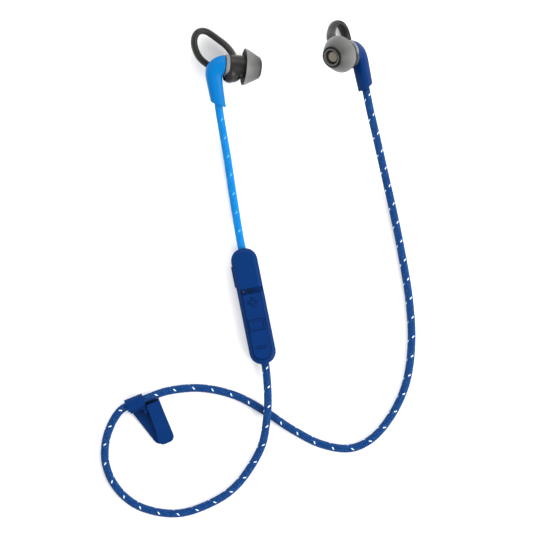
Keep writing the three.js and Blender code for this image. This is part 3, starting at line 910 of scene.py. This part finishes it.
@dataclass
class Cords:
    """The two cords: remote to left earbud, and remote round the neck to the right earbud.

    Attributes:
        left: The cord to the left earbud.
        neck: The cord to the right earbud.
        diameter: Diameter of both.
        left_route: Points of the left cord, from the earbud.
        neck_route: Points of the neck cord, from the remote.
    """

    left: Cord = field(init=False)
    neck: Cord = field(init=False)
    diameter: float = 2.9
    left_route: list[Point] = field(
        default_factory=lambda: [
            (-13.25, 76.82, 7.51),
            (-12.56, 72.28, 6.51),
            (-11.98, 68.42, 5.63),
            (-10.9, 62.0, 3.9),
            (-9.3, 52.6, 1.9),
            (-7.7, 41.8, 1.5),
            (-6.3, 33.0, 1.8),
            (-5.15, 26.0, 3.2),
            (-4.35, 21.6, 3.6),
            (-3.9, 19.3, 3.6),
        ]
    )
    neck_route: list[Point] = field(
        default_factory=lambda: [
            (3.9, -19.3, 3.6),
            (4.35, -21.6, 3.6),
            (5.0, -28.0, 4.0),
            (5.2, -34.0, 4.7),
            (5.0, -38.4, 4.85),
            (4.4, -43.5, 4.4),
            (3.3, -49.2, 2.9),
            (0.2, -55.9, 1.6),
            (-6.2, -64.6, 1.5),
            (-13.6, -70.0, 1.5),
            (-27.4, -74.6, 1.5),
            (-41.6, -71.8, 1.5),
            (-49.6, -64.8, 1.5),
            (-53.2, -56.4, 1.5),
            (-53.0, -48.0, 1.6),
            (-50.5, -41.3, 2.2),
            (-47.8, -37.5, 2.7),
            (-45.3, -35.95, 2.75),
            (-39.8, -33.7, 2.75),
            (-35.2, -31.9, 2.75),
            (-30.6, -30.5, 2.2),
            (-19.3, -29.5, 1.5),
            (-6.8, -32.1, 1.5),
            (4.2, -37.9, 1.5),
            (13.8, -44.3, 1.5),
            (24.5, -49.7, 1.5),
            (34.7, -51.2, 1.5),
            (42.0, -48.1, 1.5),
            (49.0, -40.3, 1.5),
            (54.7, -28.3, 1.5),
            (56.8, -14.0, 1.5),
            (56.1, 1.4, 1.5),
            (52.9, 21.0, 1.65),
            (50.1, 34.6, 2.2),
            (47.6, 45.4, 4.4),
            (43.0, 64.6, 12.7),
            (41.65, 70.2, 13.9),
            (40.85, 74.25, 13.6),
            (40.09, 78.11, 12.92),
            (39.14, 82.64, 12.12),
        ]
    )

    def build(self, wardrobe: Wardrobe) -> None:
        """Make both cords and dress them."""
        self.left = Cord("left_cord", self.left_route, self.diameter)
        self.neck = Cord("neck_cord", self.neck_route, self.diameter)
        for cord, slot in ((self.left, "bright_blue_braid"), (self.neck, "navy_braid")):
            cord.build()
            wardrobe.dress(cord.piece, slot)
            log.info("%s: %.1f mm long", cord.name, cord.length)


# ---------------------------------------------------------------- stage


@dataclass(frozen=True)
class SoftBox:
    """A square soft box.

    Attributes:
        name: Its name.
        at: Where it hangs, in millimetres.
        watts: Its power.
        size: Its side in millimetres.
    """

    name: str
    at: Point
    watts: float
    size: float = 1300.0

    def hang(self, target: Vector) -> None:
        """Add the lamp to the scene.

        Args:
            target: What it faces, in metres.
        """
        data = bpy.data.lights.new(self.name, "AREA")
        data.size = self.size * MM
        data.energy = self.watts
        lamp = bpy.data.objects.new(self.name, data)
        lamp.location = Vector(self.at) * MM
        lamp.rotation_euler = (lamp.location - target).to_track_quat("Z", "Y").to_euler()
        bpy.context.scene.collection.objects.link(lamp)


@dataclass
class Studio:
    """The pale floor, the soft lights and the camera straight above the lay-out.

    Attributes:
        centre: The middle of the view, in millimetres.
        view_width: Width of the floor that is seen, in millimetres.
        lens: Focal length of the camera in millimetres.
        sensor: Width of the camera's sensor in millimetres.
        sight: How far the camera sees, in metres.
        floor_size: Side of the board in millimetres.
        surround: Strength of the even light from all round.
        boxes: The soft boxes.
    """

    centre: tuple[float, float] = (7.74, 11.16)
    view_width: float = 198.0
    lens: float = 300.0
    sensor: float = 36.0
    sight: float = 100.0
    floor_size: float = 6000.0
    surround: float = 0.9
    boxes: tuple[SoftBox, ...] = (
        SoftBox("key", (-1100.0, 400.0, 800.0), 5.0),
        SoftBox("fill", (1150.0, -450.0, 800.0), 31.0),
        SoftBox("top", (0.0, 1300.0, 900.0), 16.0),
    )

    def camera(self) -> None:
        """Hang the camera straight above, with the lay-out upright in its view."""
        data = bpy.data.cameras.new("camera")
        data.sensor_width = self.sensor
        data.lens = self.lens
        data.clip_end = self.sight
        camera = bpy.data.objects.new("camera", data)
        height = self.view_width * self.lens / self.sensor
        camera.location = (self.centre[0] * MM, self.centre[1] * MM, height * MM)
        bpy.context.scene.collection.objects.link(camera)
        bpy.context.scene.camera = camera

    def floor(self) -> None:
        """Lay the pale board just under the set."""
        bm = bmesh.new()
        bmesh.ops.create_grid(bm, x_segments=1, y_segments=1, size=self.floor_size / 2 * MM)
        board = piece_from(bm, "board")
        board.data.materials.append(PaleSweep("pale_sweep", (0.97, 0.97, 0.97), 0.8).make())

    def build(self) -> None:
        """Set the whole stage."""
        self.camera()
        self.floor()
        for box in self.boxes:
            box.hang(Vector((*self.centre, 0.0)) * MM)
        world = bpy.data.worlds.new("studio")
        world.use_nodes = True
        sky = world.node_tree.nodes["Background"]
        sky.inputs["Color"].default_value = (1.0, 1.0, 1.0, 1.0)
        sky.inputs["Strength"].default_value = self.surround
        bpy.context.scene.world = world
        bpy.context.scene.view_settings.view_transform = "Standard"


# ---------------------------------------------------------------- sub-assemblies


def dressed(wardrobe: Wardrobe, copies: list[SoftCopy | MouldedSkin]) -> list[bpy.types.Object]:
    """Build copies of CAD nodes, each in the finish of its node.

    Args:
        wardrobe: Where the finishes come from.
        copies: The copies to build.

    Returns:
        The finished pieces.
    """
    pieces = []
    for copy in copies:
        piece = copy.build()
        wardrobe.dress(piece, wardrobe.slot_of[copy.node])
        log.info("%s stands for %s", piece.name, copy.node)
        pieces.append(piece)
    return pieces


@dataclass
class Earbud:
    """One earbud: the elbow housing, its trim ring and nozzle, the ear tip, and the ear loop.

    Attributes:
        side: Which of the two it is.
        front: Place of the ear tip's mouth along the nozzle.
        rim: Place of the skirt's rim along the nozzle.
        tube_end: Place of the inner tube's end along the nozzle.
        lip: Outer radius of the lip round the mouth.
        groove: Radius of the groove round the lip.
        bore: Radius of the bore.
        turns: Steps of the ear tip's turning.
        crisp: Edges of the ear tip that turn more than this, in degrees, stay crisp.
        hard_edge: Width of the rounded edges of the ring and the nozzle.
        pad_middle: Middle of the pad between sleeve and loop, in the earbud's own frame.
        pad_reach: The pad's three radii.
    """

    side: Side
    front: float = 12.7
    rim: float = 6.5
    tube_end: float = 8.7
    lip: float = 3.08
    groove: float = 3.7
    bore: float = 2.6
    turns: int = 72
    crisp: float = 50.0
    hard_edge: float = 0.05
    pad_middle: Point = (2.9, -2.6, 0.0)
    pad_reach: Point = (3.4, 3.4, 3.2)

    def node(self, part: str) -> str:
        """Return the name of one of this earbud's nodes."""
        return f"{self.side.word}_{part}"

    def seat(self) -> Matrix:
        """Return the matrix of the earbud's own frame: X along the nozzle, Y away from the stem."""
        joint = next(j for j in frame["joints"] if j["child"] == self.side.tip.value)
        along = Vector(joint["axis"]).normalized()
        corners = {tuple(v.co) for v in frame["nodes"][self.node("ear_tip")].data.vertices}
        reach = max(Vector(c).dot(along) for c in corners)
        within = 0.05 * MM
        mouth = [Vector(c) for c in corners if reach - Vector(c).dot(along) < within]
        middle = sum(mouth, Vector()) / len(mouth)
        origin = middle - along * self.front * MM
        anchor = sum(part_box(self.node("cord_anchor")), Vector()) / 2
        stem = anchor - origin
        up = -(stem - along * stem.dot(along)).normalized()
        turn = Matrix((along, up, along.cross(up))).transposed().to_4x4()
        return Matrix.Translation(origin) @ turn

    def tip_outline(self) -> list[tuple[float, float]]:
        """Return the ear tip's section: skirt, rounded nose, groove, lip and the inner tube."""
        return rounded(
            [
                (self.rim, 6.3, 0.15),
                (self.rim + 0.05, 6.75, 0.2),
                (self.rim + 1.4, 6.2, 1.3),
                (self.front - 1.45, 4.35, 0.9),
                (self.front - 0.3, self.groove, 0.35),
                (self.front - 0.65, 3.35, 0.2),
                (self.front, self.lip, 0.22),
                (self.front, self.bore + 0.05, 0.2),
                (self.front - 0.5, self.bore, 0.2),
                (self.tube_end, self.bore, 0.1),
                (self.tube_end, 3.35, 0.15),
                (self.front - 2.6, 3.4, 0.4),
                (self.front - 1.9, 4.0, 0.25),
                (self.front - 2.5, 4.15, 0.25),
                (8.1, 5.4, 1.0),
            ]
        )

    def thinness(self, along: float, radius: float) -> float:
        """Return the tip's tone at a point, from 0 to 1: higher toward the thinner rim, lower toward the nose as
        painted shade, and 0 in the groove round the lip as painted shade.

        Args:
            along: Place along the nozzle in millimetres.
            radius: Distance from the nozzle's axis in millimetres.
        """
        # Partly the silicone getting thinner toward the rim, partly painted shade: darker toward the nose, and
        # darkest in the groove round the lip.
        lip_tone, nose_tone, rim_tone = 0.55, 0.15, 1.0
        groove_depth, groove_reach, lip_reach = 0.8, 0.25, 0.02
        if radius < self.lip + lip_reach:
            return lip_tone
        if along > self.front - groove_depth and radius < self.groove + groove_reach:
            return 0.0
        share = (along - self.rim) / (self.front - self.rim)
        return rim_tone + (nose_tone - rim_tone) * share

    def tip(self, wardrobe: Wardrobe) -> bpy.types.Object:
        """Turn the silicone ear tip, and lay it on the nozzle."""
        bm = spun(self.tip_outline(), self.turns)
        thinness_and_shade = bm.verts.layers.float.new(Silicone.THIN)
        for vert in bm.verts:
            vert[thinness_and_shade] = self.thinness(vert.co.x / MM, math.hypot(vert.co.y, vert.co.z) / MM)
        smooth_by_angle(bm, self.crisp)
        bmesh.ops.transform(bm, matrix=self.seat(), verts=bm.verts)
        piece = piece_from(bm, self.node("ear_tip_skin"))
        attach(piece, self.side.tip.value)
        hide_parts(self.node("ear_tip"))
        wardrobe.dress(piece, "grey_silicone")
        return piece

    def pad(self) -> Matrix:
        """Return the matrix that turns a ball of radius 1 into the pad between sleeve and loop."""
        middle = Matrix.Translation(Vector(self.pad_middle) * MM)
        return self.seat() @ middle @ Matrix.Diagonal((*(r * MM for r in self.pad_reach), 1.0))

    def build(self, wardrobe: Wardrobe) -> None:
        """Make the whole earbud."""
        dressed(
            wardrobe,
            [
                MouldedSkin(self.node("housing")),
                MouldedSkin(self.node("ear_loop"), grid=0.2, relax=9, swelling=self.pad()),
                SoftCopy(self.node("trim_ring"), Body.ROOT, self.hard_edge),
                SoftCopy(self.node("nozzle_body"), Body.ROOT, self.hard_edge),
            ],
        )
        tip = self.tip(wardrobe)
        log.info("%s turned", tip.name)


@dataclass
class Remote:
    """The in-line remote: two shells, the keypad, three buttons and the port cover.

    Attributes:
        shell_edge: Width of the shells' rounded edges.
        keypad_edge: Width of the keypad's.
        button_edge: Width of the buttons'.
        cover_edge: Width of the port cover's.
    """

    shell_edge: float = 0.25
    keypad_edge: float = 0.3
    button_edge: float = 0.14
    cover_edge: float = 0.15

    def build(self, wardrobe: Wardrobe) -> None:
        """Soften and dress its pieces."""
        dressed(
            wardrobe,
            [
                SoftCopy("remote_rear_shell", Body.ROOT, self.shell_edge),
                SoftCopy("remote_front_shell", Body.ROOT, self.shell_edge),
                SoftCopy("remote_keypad", Body.ROOT, self.keypad_edge),
                SoftCopy("plus_button", Body.PLUS, self.button_edge),
                SoftCopy("main_button", Body.MAIN, self.button_edge),
                SoftCopy("minus_button", Body.MINUS, self.button_edge),
                SoftCopy("port_cover", Body.COVER, self.cover_edge),
            ],
        )


@dataclass
class CollarClip:
    """The clip on the neck cord: back leaf with its sleeve, and the front leaf.

    Attributes:
        body_edge: Width of the back leaf's rounded edges.
        jaw_edge: Width of the front leaf's.
    """

    body_edge: float = 0.22
    jaw_edge: float = 0.5

    def build(self, wardrobe: Wardrobe) -> list[bpy.types.Object]:
        """Soften and dress both leaves, and return every piece that rides on the cord."""
        leaves = dressed(
            wardrobe,
            [
                SoftCopy("clip_body", Body.CLIP, self.body_edge),
                SoftCopy("clip_jaw", Body.JAW, self.jaw_edge),
            ],
        )
        return [*leaves, frame["nodes"]["clip_pin"], frame["nodes"]["clip_spring"]]


def main() -> None:
    """Build the set, part by part."""
    logging.basicConfig(level=logging.INFO, format="%(name)s: %(message)s")
    Studio().build()
    wardrobe = Wardrobe()
    cords = Cords()
    cords.build(wardrobe)
    wardrobe.dress_frame()
    Remote().build(wardrobe)
    for side in Side:
        Earbud(side).build(wardrobe)
    CollarClip().build(wardrobe)


if __name__ == "__main__":
    main()
